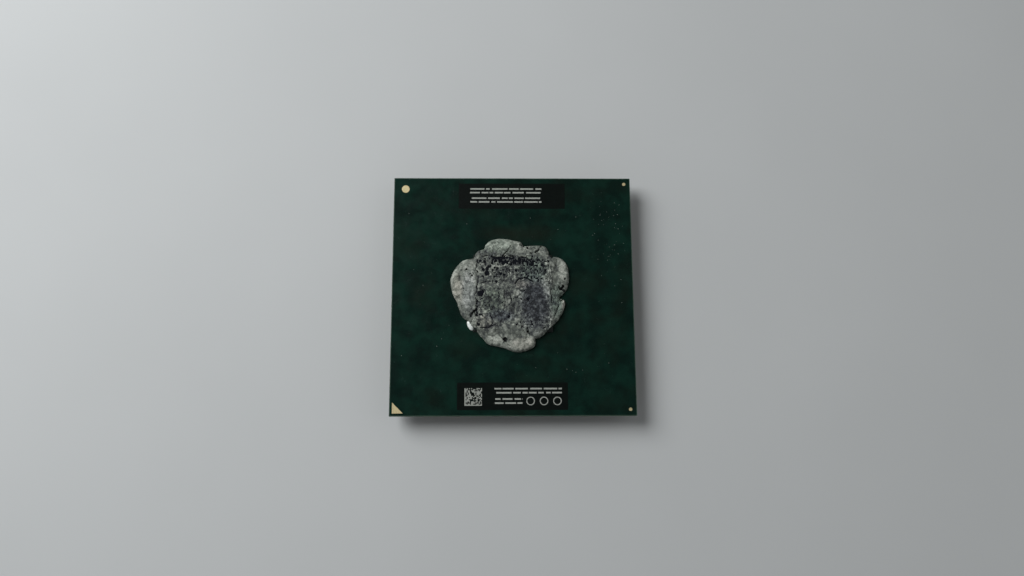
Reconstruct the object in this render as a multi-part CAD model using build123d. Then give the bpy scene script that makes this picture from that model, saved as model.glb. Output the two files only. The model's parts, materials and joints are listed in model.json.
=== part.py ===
from build123d import *
import os

# A bare-die pin grid array processor: a laminated carrier with a flip-chip die
# on top, pins and capacitors underneath, and old thermal paste on the die.
# Millimetres. Z = 0 is the plane of the pin tips, +Z goes up through the die,
# and the keyed corner, with no pins, is at low X and low Y.

# Carrier outline and layers. Each side of the core is built up outwards.
package_side = 35.0
core_thickness = 0.81
core_foil_thickness = 0.03
inner_dielectric_thickness = 0.05
signal_foil_thickness = 0.02
outer_dielectric_thickness = 0.05
mask_thickness = 0.03
foil_inset = 0.30
mask_inset = 0.12
pad_thickness = 0.02

# Plated holes through the core
via_radius = 0.15
via_pitch = 4.80
via_edge_margin = 3.0

# Pin field
pin_pitch = 1.27
pins_per_side = 26
pin_void_per_side = 14
keyed_positions = ((0, 0), (1, 0))
pin_radius = 0.1525
pin_stand_off = 2.03
pin_tip_chamfer = 0.05
pin_pad_radius = 0.42
pin_solder_height = 0.14
pin_solder_foot_radius = 0.36
pin_solder_neck_radius = 0.20
row_letters = "ABCDEFGHJKLMNPRTUVWY"

# Capacitors in the middle of the underside
capacitor_length = 1.60
capacitor_width = 0.80
capacitor_height = 0.55
capacitor_terminal_length = 0.30
capacitor_terminal_wall = 0.03
capacitor_pitch_x = 2.40
capacitor_pitch_y = 2.40
capacitor_columns = 5
capacitor_rows = 6
capacitor_pad_length = 0.55
capacitor_pad_overlap = 0.30
capacitor_solder_height = 0.30

# Test lands on the underside, a strip each side of the capacitors
test_pad_radius = 0.30
test_pads_per_strip = 9
test_strip_clearance = 1.30

# Die, its solder bumps and the resin under it
die_length_x = 10.5
die_length_y = 10.4
die_offset_y = 0.1
die_thickness = 0.775
interconnect_thickness = 0.02
bump_gap = 0.08
bump_radius = 0.12
bump_pitch = 1.60
bump_edge_margin = 0.45
bump_pad_radius = 0.14
underfill_reach = 0.50
underfill_climb = 0.40

# Thermal paste: a film on the die and four lobes pressed out past its sides
paste_film_thickness = 0.10
paste_lobe_drop = 0.12
paste_lobe_reach_left = 3.80
paste_lobe_reach_right = 2.95
paste_lobe_reach_top = 2.85
paste_lobe_reach_bottom = 3.45

# Gold marks and printed panels on the top face
fiducial_radius = 0.575
fiducial_edge_distance = 1.70
corner_dot_radius = 0.25
corner_dot_edge_distance = 0.90
pin_one_leg = 1.55
pin_one_edge_distance = 0.40
panel_ink_thickness = 0.01
panel_width = 15.7
panel_height = 3.85
panel_edge_distance = 0.85
panel_centre_x = -0.1

# Levels, from the pin tips upwards
inner_layer_thickness = core_foil_thickness + inner_dielectric_thickness
outer_layer_thickness = signal_foil_thickness + outer_dielectric_thickness
land_level = pin_stand_off
bottom_outer_level = land_level + mask_thickness
bottom_inner_level = bottom_outer_level + outer_layer_thickness
core_bottom_level = bottom_inner_level + inner_layer_thickness
core_top_level = core_bottom_level + core_thickness
top_inner_level = core_top_level + inner_layer_thickness
top_outer_level = top_inner_level + outer_layer_thickness
board_top_level = top_outer_level + mask_thickness
die_bottom_level = board_top_level + bump_gap
die_top_level = die_bottom_level + die_thickness
pad_underside_level = bottom_outer_level - pad_thickness
package_half = package_side / 2

# Keeps a whole number of steps whole when a span divides evenly by its pitch
rounding_allowance = 1e-6


def block(length_x, length_y, height, centre_x, centre_y, bottom):
    """A rectangular block standing on the level `bottom`."""
    solid = Solid.make_box(length_x, length_y, height)
    corner = (centre_x - length_x / 2, centre_y - length_y / 2, bottom)
    return solid.moved(Location(corner))


def disc(radius, height, centre, bottom):
    """A round slug standing on the level `bottom`."""
    return Solid.make_cylinder(radius, height, Plane((centre[0], centre[1], bottom)))


def covering_layer(bottom, thickness, foil_bottom, foil_thickness):
    """A resin layer over the whole carrier with a pocket that holds one copper foil."""
    layer = block(package_side, package_side, thickness, 0, 0, bottom)
    foil_side = package_side - 2 * foil_inset
    return layer - block(foil_side, foil_side, foil_thickness, 0, 0, foil_bottom)


def copper_foil(bottom, thickness):
    """A copper sheet that stops short of the sawn edge of the carrier."""
    foil_side = package_side - 2 * foil_inset
    return block(foil_side, foil_side, thickness, 0, 0, bottom)


def pierced_sheet(side, bottom, thickness, openings):
    """A thin square sheet with one hole for each closed wire in `openings`."""
    outline = Wire.make_rect(side, side, Plane((0, 0, bottom)))
    face = Face(outline, openings)
    if face.normal_at().Z < 0:
        face = -face
    return Solid.extrude(face, Vector(0, 0, thickness))


def round_openings(centres, radius, level):
    return [Wire.make_circle(radius, Plane((x, y, level))) for x, y in centres]


def rectangle_openings(rectangles, level):
    return [
        Wire.make_rect(length_x, length_y, Plane((x, y, level)))
        for x, y, length_x, length_y in rectangles
    ]


def centred_steps(count, pitch):
    """Positions of `count` items at `pitch`, centred on zero."""
    return [(index - (count - 1) / 2) * pitch for index in range(count)]


def steps_within(span, pitch):
    """Positions at `pitch`, centred on zero, as many as fit in `span`."""
    return centred_steps(int(span / pitch + rounding_allowance) + 1, pitch)


def save(node, solids):
    """Write one node, which is one solid or a group of separate solids."""
    solids = solids if isinstance(solids, list) else [solids]
    shape = solids[0] if len(solids) == 1 else Compound(children=solids)
    export_step(shape, f"parts/{node}.step")


os.makedirs("parts", exist_ok=True)


# Core and the layers built up on both sides of it --------------------------

via_steps = steps_within(package_side - 2 * via_edge_margin, via_pitch)
via_centres = [(x, y) for x in via_steps for y in via_steps]
via_openings = round_openings(via_centres, via_radius, core_bottom_level)
core_laminate = pierced_sheet(package_side, core_bottom_level, core_thickness, via_openings)
core_vias = [disc(via_radius, core_thickness, centre, core_bottom_level) for centre in via_centres]
save("core_laminate", core_laminate)
save("core_vias", core_vias)

core_foil_bottom_level = core_bottom_level - core_foil_thickness
signal_foil_bottom_level = bottom_inner_level - signal_foil_thickness
save("core_foil_top", copper_foil(core_top_level, core_foil_thickness))
save("core_foil_bottom", copper_foil(core_foil_bottom_level, core_foil_thickness))
save("signal_foil_top", copper_foil(top_inner_level, signal_foil_thickness))
save("signal_foil_bottom", copper_foil(signal_foil_bottom_level, signal_foil_thickness))

save(
    "inner_buildup_top",
    covering_layer(core_top_level, inner_layer_thickness, core_top_level, core_foil_thickness),
)
save(
    "inner_buildup_bottom",
    covering_layer(
        bottom_inner_level, inner_layer_thickness, core_foil_bottom_level, core_foil_thickness
    ),
)
save(
    "outer_buildup_top",
    covering_layer(top_inner_level, outer_layer_thickness, top_inner_level, signal_foil_thickness),
)
save(
    "outer_buildup_bottom",
    covering_layer(
        bottom_outer_level, outer_layer_thickness, signal_foil_bottom_level, signal_foil_thickness
    ),
)


# Pins: straight round wire, each row its own node --------------------------

pin_steps = centred_steps(pins_per_side, pin_pitch)
void_start = (pins_per_side - pin_void_per_side) // 2
void_range = range(void_start, void_start + pin_void_per_side)


def row_name(row):
    """Row letters without I, O, Q, S, X and Z, then AA, AB and so on."""
    if row < len(row_letters):
        return row_letters[row]
    return "A" + row_letters[row - len(row_letters)]


def row_centres(row):
    """Centres of the pins in one row, which runs along Y."""
    return [
        (pin_steps[row], pin_steps[column])
        for column in range(pins_per_side)
        if not (row in void_range and column in void_range)
        and (row, column) not in keyed_positions
    ]


def pin_shaft(centre):
    """One pin, with a small chamfer round its tip, standing against its pad."""
    shaft = disc(pin_radius, pad_underside_level, centre, 0)
    tip_edge = shaft.edges().filter_by(GeomType.CIRCLE).sort_by(Axis.Z)[0]
    return shaft.chamfer(pin_tip_chamfer, None, [tip_edge])


one_pin = pin_shaft((0, 0))
all_pin_centres = []
for row in range(pins_per_side):
    centres = row_centres(row)
    all_pin_centres += centres
    pins = [one_pin.moved(Location((x, y, 0))) for x, y in centres]
    save(f"pin_row_{row_name(row).lower()}", pins)

save(
    "pin_pads",
    [disc(pin_pad_radius, pad_thickness, centre, pad_underside_level) for centre in all_pin_centres],
)


def solder_collar():
    """A cone of solder round the head of a pin, widest against its pad."""
    neck_level = pad_underside_level - pin_solder_height
    section = [
        (pin_radius, 0, neck_level),
        (pin_solder_neck_radius, 0, neck_level),
        (pin_solder_foot_radius, 0, pad_underside_level),
        (pin_radius, 0, pad_underside_level),
    ]
    return Solid.revolve(Face(Wire.make_polygon(section, close=True)), 360, Axis.Z)


one_collar = solder_collar()
save("pin_solder", [one_collar.moved(Location((x, y, 0))) for x, y in all_pin_centres])


# Capacitors on the underside -----------------------------------------------

capacitor_centres = [
    (x, y)
    for x in centred_steps(capacitor_columns, capacitor_pitch_x)
    for y in centred_steps(capacitor_rows, capacitor_pitch_y)
]
capacitor_top_level = pad_underside_level
capacitor_bottom_level = capacitor_top_level - capacitor_height
capacitor_pads = []
capacitor_bodies = []
capacitor_terminals = []
capacitor_fillets = []
capacitor_pad_rectangles = []


def capacitor_terminal(centre, side):
    """A plated metal cup over one end of a capacitor, open towards its middle."""
    outer_x = centre[0] + side * (capacitor_length - capacitor_terminal_length) / 2
    cup = block(
        capacitor_terminal_length,
        capacitor_width,
        capacitor_height,
        outer_x,
        centre[1],
        capacitor_bottom_level,
    )
    return cup - capacitor_body(centre)


def capacitor_body(centre):
    """The fired ceramic block, which its two end cups enclose by one wall."""
    return block(
        capacitor_length - 2 * capacitor_terminal_wall,
        capacitor_width - 2 * capacitor_terminal_wall,
        capacitor_height - 2 * capacitor_terminal_wall,
        centre[0],
        centre[1],
        capacitor_bottom_level + capacitor_terminal_wall,
    )


def capacitor_fillet(centre, side):
    """A wedge of solder from the pad to the outer end of a terminal."""
    foot = capacitor_pad_length - capacitor_pad_overlap
    end_x = centre[0] + side * capacitor_length / 2
    low_y = centre[1] - (capacitor_width - 2 * capacitor_terminal_wall) / 2
    corners = [
        (end_x, low_y, capacitor_top_level),
        (end_x + side * foot, low_y, capacitor_top_level),
        (end_x, low_y, capacitor_top_level - capacitor_solder_height),
    ]
    face = Face(Wire.make_polygon(corners, close=True))
    return Solid.extrude(face, Vector(0, capacitor_width - 2 * capacitor_terminal_wall, 0))


for centre in capacitor_centres:
    capacitor_bodies.append(capacitor_body(centre))
    for side in (-1, 1):
        pad_middle = capacitor_length / 2 - capacitor_pad_overlap + capacitor_pad_length / 2
        pad = (centre[0] + side * pad_middle, centre[1], capacitor_pad_length, capacitor_width)
        capacitor_pad_rectangles.append(pad)
        capacitor_pads.append(block(pad[2], pad[3], pad_thickness, pad[0], pad[1], pad_underside_level))
        capacitor_terminals.append(capacitor_terminal(centre, side))
        capacitor_fillets.append(capacitor_fillet(centre, side))

save("capacitor_bodies", capacitor_bodies)
save("capacitor_terminals", capacitor_terminals)
save("capacitor_pads", capacitor_pads)
save("capacitor_solder", capacitor_fillets)

test_strip_x = (
    (capacitor_columns - 1) / 2 * capacitor_pitch_x
    + capacitor_length / 2
    + capacitor_pad_length
    - capacitor_pad_overlap
    + test_strip_clearance
)
test_pad_centres = [
    (side * test_strip_x, y)
    for side in (-1, 1)
    for y in centred_steps(test_pads_per_strip, pin_pitch)
]
save(
    "test_pads",
    [disc(test_pad_radius, pad_thickness, centre, pad_underside_level) for centre in test_pad_centres],
)

mask_side = package_side - 2 * mask_inset
bottom_openings = (
    round_openings(all_pin_centres, pin_pad_radius, land_level)
    + round_openings(test_pad_centres, test_pad_radius, land_level)
    + rectangle_openings(capacitor_pad_rectangles, land_level)
)
save("solder_mask_bottom", pierced_sheet(mask_side, land_level, mask_thickness, bottom_openings))


# Gold marks on the top face ------------------------------------------------

fiducial_centre = (-package_half + fiducial_edge_distance, package_half - fiducial_edge_distance)
dot_distance = package_half - corner_dot_edge_distance
corner_dot_centres = [(dot_distance, dot_distance), (dot_distance, -dot_distance)]
triangle_corner = -package_half + pin_one_edge_distance
triangle_corners = [
    (triangle_corner, triangle_corner, top_outer_level),
    (triangle_corner + pin_one_leg, triangle_corner, top_outer_level),
    (triangle_corner, triangle_corner + pin_one_leg, top_outer_level),
]
save("fiducial_pad", disc(fiducial_radius, pad_thickness, fiducial_centre, top_outer_level))
save(
    "corner_dots",
    [disc(corner_dot_radius, pad_thickness, centre, top_outer_level) for centre in corner_dot_centres],
)
triangle_face = Face(Wire.make_polygon(triangle_corners, close=True))
save("pin_one_triangle", Solid.extrude(triangle_face, Vector(0, 0, pad_thickness)))


# Bumps, die and underfill --------------------------------------------------

bump_centres = [
    (x, y + die_offset_y)
    for x in steps_within(die_length_x - 2 * bump_edge_margin, bump_pitch)
    for y in steps_within(die_length_y - 2 * bump_edge_margin, bump_pitch)
]
bump_foot_level = top_outer_level + pad_thickness
bump_height = die_bottom_level - bump_foot_level
save(
    "bump_pads",
    [disc(bump_pad_radius, pad_thickness, centre, top_outer_level) for centre in bump_centres],
)
bumps = [disc(bump_radius, bump_height, centre, bump_foot_level) for centre in bump_centres]
save("solder_bumps", bumps)

top_openings = (
    round_openings(bump_centres, bump_pad_radius, top_outer_level)
    + round_openings([fiducial_centre], fiducial_radius, top_outer_level)
    + round_openings(corner_dot_centres, corner_dot_radius, top_outer_level)
    + [Wire.make_polygon(triangle_corners, close=True)]
)
save("solder_mask_top", pierced_sheet(mask_side, top_outer_level, mask_thickness, top_openings))

save(
    "die_interconnect",
    block(die_length_x, die_length_y, interconnect_thickness, 0, die_offset_y, die_bottom_level),
)
save(
    "die_silicon",
    block(
        die_length_x,
        die_length_y,
        die_thickness - interconnect_thickness,
        0,
        die_offset_y,
        die_bottom_level + interconnect_thickness,
    ),
)

underfill_sheet_face = Face(
    Wire.make_rect(die_length_x, die_length_y, Plane((0, die_offset_y, board_top_level))),
    round_openings(bump_centres, bump_radius, board_top_level),
)
if underfill_sheet_face.normal_at().Z < 0:
    underfill_sheet_face = -underfill_sheet_face
underfill_sheet = Solid.extrude(underfill_sheet_face, Vector(0, 0, bump_gap))


def frame_loft(bottom, height, foot_reach):
    """A sloping block round the die: `foot_reach` out at its foot, flush at its top."""
    foot = Face(
        Wire.make_rect(
            die_length_x + 2 * foot_reach,
            die_length_y + 2 * foot_reach,
            Plane((0, die_offset_y, bottom)),
        )
    )
    crest = Wire.make_rect(die_length_x, die_length_y, Plane((0, die_offset_y, bottom + height)))
    return Solid.make_loft([foot.outer_wire(), crest])


underfill_slope = frame_loft(board_top_level, bump_gap + underfill_climb, underfill_reach)
die_column = block(
    die_length_x, die_length_y, die_thickness + bump_gap, 0, die_offset_y, board_top_level
)
underfill = (underfill_slope - die_column) + underfill_sheet
save("underfill", underfill)


# Thermal paste -------------------------------------------------------------

save(
    "paste_film",
    block(die_length_x, die_length_y, paste_film_thickness, 0, die_offset_y, die_top_level),
)

lobe_height = die_top_level - paste_lobe_drop - board_top_level
die_left = -die_length_x / 2
die_right = die_length_x / 2
die_front = die_offset_y - die_length_y / 2
die_back = die_offset_y + die_length_y / 2


def paste_lobe(start, end, outward, reach, shape):
    """One lobe of paste beside the die, from corner `start` to corner `end`.

    `shape` holds pairs along the side: a fraction of the side's length from
    `start` to `end`, and a fraction of `reach` out from the side.
    """
    side = Vector(*end) - Vector(*start)
    outline = [
        Vector(*start) + side * along + Vector(*outward) * (reach * out) for along, out in shape
    ]
    rim = Edge.make_spline([Vector(*start)] + outline + [Vector(*end)])
    base = Edge.make_line(Vector(*end), Vector(*start))
    face = Face(Wire([rim, base])).moved(Location((0, 0, board_top_level)))
    if face.normal_at().Z < 0:
        face = -face
    bead = Solid.extrude(face, Vector(0, 0, lobe_height))
    return bead - underfill_slope - die_column


save(
    "paste_lobe_left",
    paste_lobe(
        (die_left, die_back),
        (die_left, die_front),
        (-1, 0),
        paste_lobe_reach_left,
        [
            (0.03, 0.46), (0.11, 0.72), (0.29, 0.99), (0.37, 1.00), (0.51, 0.91), (0.64, 0.75),
            (0.81, 0.57), (0.91, 0.31),
        ],
    ),
)
save(
    "paste_lobe_top",
    paste_lobe(
        (die_left, die_back),
        (die_right, die_back),
        (0, 1),
        paste_lobe_reach_top,
        [
            (0.01, 0.30), (0.10, 0.48), (0.16, 0.80), (0.29, 1.00), (0.46, 0.98), (0.59, 0.88),
            (0.65, 0.65), (0.75, 0.62), (0.89, 0.66), (0.98, 0.47),
        ],
    ),
)
save(
    "paste_lobe_right",
    paste_lobe(
        (die_right, die_back),
        (die_right, die_front),
        (1, 0),
        paste_lobe_reach_right,
        [
            (0.00, 0.29), (0.03, 0.70), (0.14, 0.93), (0.30, 1.00), (0.43, 0.90), (0.53, 0.60),
            (0.59, 0.62), (0.65, 0.76), (0.75, 0.72), (0.91, 0.30),
        ],
    ),
)
save(
    "paste_lobe_bottom",
    paste_lobe(
        (die_left, die_front),
        (die_right, die_front),
        (0, -1),
        paste_lobe_reach_bottom,
        [
            (0.03, 0.18), (0.10, 0.44), (0.16, 0.66), (0.23, 0.73), (0.39, 0.84), (0.50, 0.96),
            (0.60, 1.00), (0.75, 0.84), (0.81, 0.58), (0.89, 0.32),
        ],
    ),
)


# Printed panels ------------------------------------------------------------

panel_y = package_half - panel_edge_distance - panel_height / 2
for node, centre_y in (("marking_panel_top", panel_y), ("marking_panel_bottom", -panel_y)):
    panel = block(
        panel_width, panel_height, panel_ink_thickness, panel_centre_x, centre_y, board_top_level
    )
    save(node, panel)
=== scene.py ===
import json
import math

import bmesh
import bpy
import numpy as np
from mathutils import Euler, Matrix, Vector


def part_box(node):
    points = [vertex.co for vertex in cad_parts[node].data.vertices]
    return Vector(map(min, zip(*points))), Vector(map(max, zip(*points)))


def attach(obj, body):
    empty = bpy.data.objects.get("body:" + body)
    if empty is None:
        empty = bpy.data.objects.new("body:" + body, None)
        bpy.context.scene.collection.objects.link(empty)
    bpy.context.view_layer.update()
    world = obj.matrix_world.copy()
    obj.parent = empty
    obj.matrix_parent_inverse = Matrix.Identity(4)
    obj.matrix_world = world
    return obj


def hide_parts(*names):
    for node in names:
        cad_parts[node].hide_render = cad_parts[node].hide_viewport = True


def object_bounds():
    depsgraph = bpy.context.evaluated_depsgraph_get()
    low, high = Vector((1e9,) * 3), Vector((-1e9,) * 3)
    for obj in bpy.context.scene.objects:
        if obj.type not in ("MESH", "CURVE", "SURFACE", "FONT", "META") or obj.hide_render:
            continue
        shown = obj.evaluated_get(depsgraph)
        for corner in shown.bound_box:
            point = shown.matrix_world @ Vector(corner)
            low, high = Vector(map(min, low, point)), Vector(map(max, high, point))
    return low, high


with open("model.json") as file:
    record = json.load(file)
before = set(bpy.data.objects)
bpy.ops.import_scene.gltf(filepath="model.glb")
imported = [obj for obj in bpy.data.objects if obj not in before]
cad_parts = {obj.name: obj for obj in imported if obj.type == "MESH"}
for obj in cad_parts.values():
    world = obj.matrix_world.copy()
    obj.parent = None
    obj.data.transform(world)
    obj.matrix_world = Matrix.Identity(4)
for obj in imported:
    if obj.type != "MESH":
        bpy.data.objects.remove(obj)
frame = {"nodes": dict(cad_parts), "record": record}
cad_low, cad_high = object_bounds()


# Sawn core of the carrier: woven glass in brown-green epoxy, 0.8 mm thick. It
# shows only at the four sawn edges, where the cloth makes pale lines and the
# saw leaves a fine upright tooth.
MM = 0.001


def linear(hex_colour):
    """An sRGB hex colour as linear red, green, blue and alpha."""
    channels = [int(hex_colour[start:start + 2], 16) / 255 for start in (1, 3, 5)]
    return tuple(
        c / 12.92 if c <= 0.04045 else ((c + 0.055) / 1.055) ** 2.4 for c in channels
    ) + (1.0,)


def add_node(tree, kind, inputs=None, **settings):
    """Adds a node. An input is a value, or another node's socket to link from."""
    node = tree.nodes.new(kind)
    for name, value in settings.items():
        setattr(node, name, value)
    for key, value in (inputs or {}).items():
        if isinstance(value, bpy.types.NodeSocket):
            tree.links.new(value, node.inputs[key])
        else:
            node.inputs[key].default_value = value
    return node


def start_material(name, **shader_values):
    """A new material with its shader's plain values set, its tree and its shader."""
    material = bpy.data.materials.new(name)
    material.use_nodes = True
    tree = material.node_tree
    shader = tree.nodes["Principled BSDF"]
    for key, value in shader_values.items():
        shader.inputs[key.replace("_", " ")].default_value = value
    return material, tree, shader


def lumps(tree, place, size_mm, detail=3.0, stretch=(1, 1, 1)):
    """Random lumps about `size_mm` across, longer where `stretch` is over 1."""
    scale = [1 / (size_mm * MM * part) for part in stretch]
    spread = add_node(tree, "ShaderNodeMapping", {"Vector": place, "Scale": scale})
    texture = add_node(
        tree, "ShaderNodeTexNoise", {"Vector": spread.outputs[0], "Scale": 1.0, "Detail": detail}
    )
    return texture.outputs["Fac"]


def blotches(tree, place, size_mm, edges, values=(0.0, 1.0), detail=3.0, stretch=(1, 1, 1)):
    """Lumps that pass from the first to the second value between their two edges."""
    lump = lumps(tree, place, size_mm, detail, stretch)
    inputs = {"Value": lump, 1: edges[0], 2: edges[1], 3: values[0], 4: values[1]}
    return add_node(tree, "ShaderNodeMapRange", inputs).outputs[0]


def coat(tree, shader, share, ground, colour):
    """Colours the shader with `colour` laid over `ground` by `share`."""
    inputs = {0: share, 6: ground, 7: colour}
    tone = add_node(tree, "ShaderNodeMix", inputs, data_type="RGBA").outputs[2]
    tree.links.new(tone, shader.inputs["Base Color"])
    return tone


def fine_relief(tree, shader, place, size_mm, depth_mm, detail=3.0, stretch=(1, 1, 1)):
    height = lumps(tree, place, size_mm, detail, stretch)
    inputs = {"Height": height, "Distance": depth_mm * MM, "Strength": 1.0}
    relief = add_node(tree, "ShaderNodeBump", inputs)
    tree.links.new(relief.outputs[0], shader.inputs["Normal"])


def object_place(tree):
    return add_node(tree, "ShaderNodeTexCoord").outputs["Object"]


def finish_node(node, material):
    """Puts a material in every slot of a CAD node."""
    for slot in frame["nodes"][node].material_slots:
        slot.material = material


# Glass cloth every 0.1 mm of height, and yarn bundles 0.4 mm long along the cut.
glass_epoxy, tree, shader = start_material("sawn_glass_epoxy", Roughness=0.72)
place = object_place(tree)
cloth = blotches(tree, place, 0.1, (0.42, 0.62), detail=2.0, stretch=(4, 4, 1))
edge_colour = coat(tree, shader, cloth, linear("#3a3d26"), linear("#75714a"))
stain = blotches(tree, place, 3.0, (0.35, 0.65), (0.0, 0.5))
coat(tree, shader, stain, edge_colour, linear("#2c3020"))
fine_relief(tree, shader, place, 0.08, 0.012, 2.0, (1, 1, 4))
finish_node("core_laminate", glass_epoxy)


# Resin layers built up on both faces of the core: cured filled epoxy without
# glass, seen as a thin smooth green-brown line above and below the core, and as
# the narrow rim that the solder mask leaves bare.
def uneven_gloss(tree, shader, place, size_mm, values, detail=3.0, stretch=(1, 1, 1)):
    rough = blotches(tree, place, size_mm, (0.3, 0.7), values, detail, stretch)
    tree.links.new(rough, shader.inputs["Roughness"])


def mottled(name, size_mm, dark, light, relief=None, gloss=None, **shader_values):
    """A material of two tones in lumps, with an uneven gloss and a fine relief."""
    material, tree, shader = start_material(name, **shader_values)
    place = object_place(tree)
    coat(tree, shader, lumps(tree, place, size_mm), linear(dark), linear(light))
    if gloss:
        uneven_gloss(tree, shader, place, *gloss)
    if relief:
        fine_relief(tree, shader, place, *relief)
    return material


buildup_resin = mottled(
    "buildup_resin", 0.8, "#20382c", "#31503f", relief=(0.05, 0.004), Roughness=0.5
)
for layer in ("inner_buildup", "outer_buildup"):
    for face in ("_top", "_bottom"):
        finish_node(layer + face, buildup_resin)


# Copper inside the carrier: rolled foils, plated vias and bare pads, all dull
# pinkish metal with the faint mottle of etched and plated copper.
plated_copper = mottled(
    "plated_copper", 0.4, "#b0714e", "#c98d68", relief=(0.05, 0.003), Metallic=1.0, Roughness=0.42
)
for node in (
    "core_vias", "core_foil_top", "core_foil_bottom", "signal_foil_top", "signal_foil_bottom",
    "bump_pads", "capacitor_pads",
):
    finish_node(node, plated_copper)


# Solder mask: a 0.03 mm skin of dark green photo-imaged lacquer on each face.
# It is semi-gloss with a faint orange peel, uneven in tone where copper lies
# under it, and a little browner where flux and heat have stained it.
solder_mask, tree, shader = start_material("green_solder_mask", Specular_IOR_Level=0.22)
place = object_place(tree)
copper_below = blotches(tree, place, 2.2, (0.38, 0.64), detail=4.0)
mask_colour = coat(tree, shader, copper_below, linear("#091a16"), linear("#0f2a22"))
stain = blotches(tree, place, 5.0, (0.5, 0.72), (0.0, 0.55), 2.0)
mask_colour = coat(tree, shader, stain, mask_colour, linear("#151a14"))
band_place = {"Vector": place, "Location": (-0.0008, -0.0090, 0.0)}
band = add_node(tree, "ShaderNodeMapping", band_place).outputs[0]
oval = add_node(tree, "ShaderNodeVectorMath", {0: band, 1: (200, 900, 0)}, operation="MULTIPLY")
reach = add_node(tree, "ShaderNodeVectorMath", {0: oval.outputs[0]}, operation="LENGTH")
stain_edge = {"Value": reach.outputs["Value"], 1: 0.3, 2: 1.5, 3: 0.45, 4: 0.0}
flux_stain = add_node(tree, "ShaderNodeMapRange", stain_edge).outputs[0]
mask_colour = coat(tree, shader, flux_stain, mask_colour, linear("#211d16"))
grain = blotches(tree, place, 0.14, (0.3, 0.7), (0.0, 0.16), 2.0)
coat(tree, shader, grain, mask_colour, linear("#1d3f33"))
uneven_gloss(tree, shader, place, 1.6, (0.19, 0.28), 4.0)
fine_relief(tree, shader, place, 0.3, 0.004)
finish_node("solder_mask_top", solder_mask)
finish_node("solder_mask_bottom", solder_mask)


# Traces under the top mask: copper lines 0.1 mm wide that fan out from the die
# to the pin field and lift the lacquer over them by a few microns. Each is a
# straight run, a diagonal and a straight run, with the mask's own skin.
def start_tree(name, sockets):
    """A geometry tree with named inputs, which takes and gives one geometry."""
    tree = bpy.data.node_groups.new(name, "GeometryNodeTree")
    tree.interface.new_socket("Geometry", in_out="INPUT", socket_type="NodeSocketGeometry")
    for label, kind in sockets:
        tree.interface.new_socket(label, in_out="INPUT", socket_type="NodeSocket" + kind)
    tree.interface.new_socket("Geometry", in_out="OUTPUT", socket_type="NodeSocketGeometry")
    return tree, tree.nodes.new("NodeGroupInput").outputs


def end_tree(tree, geometry, material_socket):
    """Ends a geometry tree with real geometry in one material."""
    real = add_node(tree, "GeometryNodeRealizeInstances", {0: geometry})
    inputs = {"Geometry": real.outputs[0], "Material": material_socket}
    coated = add_node(tree, "GeometryNodeSetMaterial", inputs)
    add_node(tree, "NodeGroupOutput", {0: coated.outputs[0]})


def new_piece(name, data):
    piece = bpy.data.objects.new(name, data)
    bpy.context.scene.collection.objects.link(piece)
    return piece


def grow(name, tree, values, base=None, smooth_angle=None):
    """Runs a geometry tree with these inputs and keeps the plain mesh that it makes."""
    host = new_piece(name + "_host", base or bpy.data.meshes.new(name + "_base"))
    shape = host.modifiers.new("shape", "NODES")
    shape.node_group = tree
    for item in tree.interface.items_tree:
        if item.in_out == "INPUT" and item.name in values:
            shape[item.identifier] = values[item.name]
    bpy.context.view_layer.update()
    evaluated = host.evaluated_get(bpy.context.evaluated_depsgraph_get())
    mesh = bpy.data.meshes.new_from_object(evaluated)
    mesh.name = name
    bpy.data.objects.remove(host)
    if smooth_angle:
        mesh.shade_smooth()
        mesh.set_sharp_from_angle(angle=math.radians(smooth_angle))
    return new_piece(name, mesh)


trace_tree, given = start_tree(
    "trace", [("Width", "Float"), ("Rise", "Float"), ("Material", "Material")]
)
half_round = add_node(
    trace_tree, "GeometryNodeCurvePrimitiveCircle", {"Resolution": 8, "Radius": given["Width"]}
)
flat = add_node(
    trace_tree, "ShaderNodeCombineXYZ", {"X": 0.5, "Y": given["Rise"], "Z": 0.5}
)
flattened = {"Geometry": half_round.outputs[0], "Scale": flat.outputs[0]}
profile = add_node(trace_tree, "GeometryNodeTransform", flattened)
swept = {"Curve": given["Geometry"], "Profile Curve": profile.outputs[0], "Fill Caps": True}
ribbon = add_node(trace_tree, "GeometryNodeCurveToMesh", swept)
end_tree(trace_tree, ribbon.outputs[0], given["Material"])

mask_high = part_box("solder_mask_top")[1]
die_low, die_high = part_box("die_silicon")
trace_width_mm = 0.11
trace_count = 30
trace_pitch_inner_mm = 0.34
trace_pitch_outer_mm = 1.02
trace_start_mm = die_high.x / MM + 0.6
trace_bend_mm = 9.6
random_trace = np.random.default_rng(5)
paths = bpy.data.curves.new("trace_paths", "CURVE")
paths.dimensions = "3D"
for quarter in range(4):
    turn = Matrix.Rotation(math.radians(90 * quarter), 3, "Z")
    longest_mm = 16.0 if quarter % 2 else 12.3
    for line in range(trace_count):
        step = line - (trace_count - 1) / 2
        inner = step * trace_pitch_inner_mm
        outer = step * trace_pitch_outer_mm
        bend = trace_bend_mm - 0.04 * abs(step) ** 1.4
        run_out = min(bend + abs(outer - inner), longest_mm - 0.3)
        end = run_out + (longest_mm - run_out) * random_trace.uniform(0.15, 1.0)
        side = inner + math.copysign(run_out - bend, step)
        corners = [(trace_start_mm, inner), (bend, inner), (run_out, side), (end, side)]
        path = paths.splines.new("POLY")
        path.points.add(len(corners) - 1)
        for point, (along, across) in zip(path.points, corners):
            place_mm = turn @ Vector((along, across, 0))
            point.co = (place_mm.x * MM, place_mm.y * MM, mask_high.z, 1)
trace_values = {"Width": trace_width_mm * MM, "Rise": 0.03, "Material": solder_mask}
traces = grow("mask_over_traces", trace_tree, trace_values, paths, 40)
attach(traces, "root")


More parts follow.
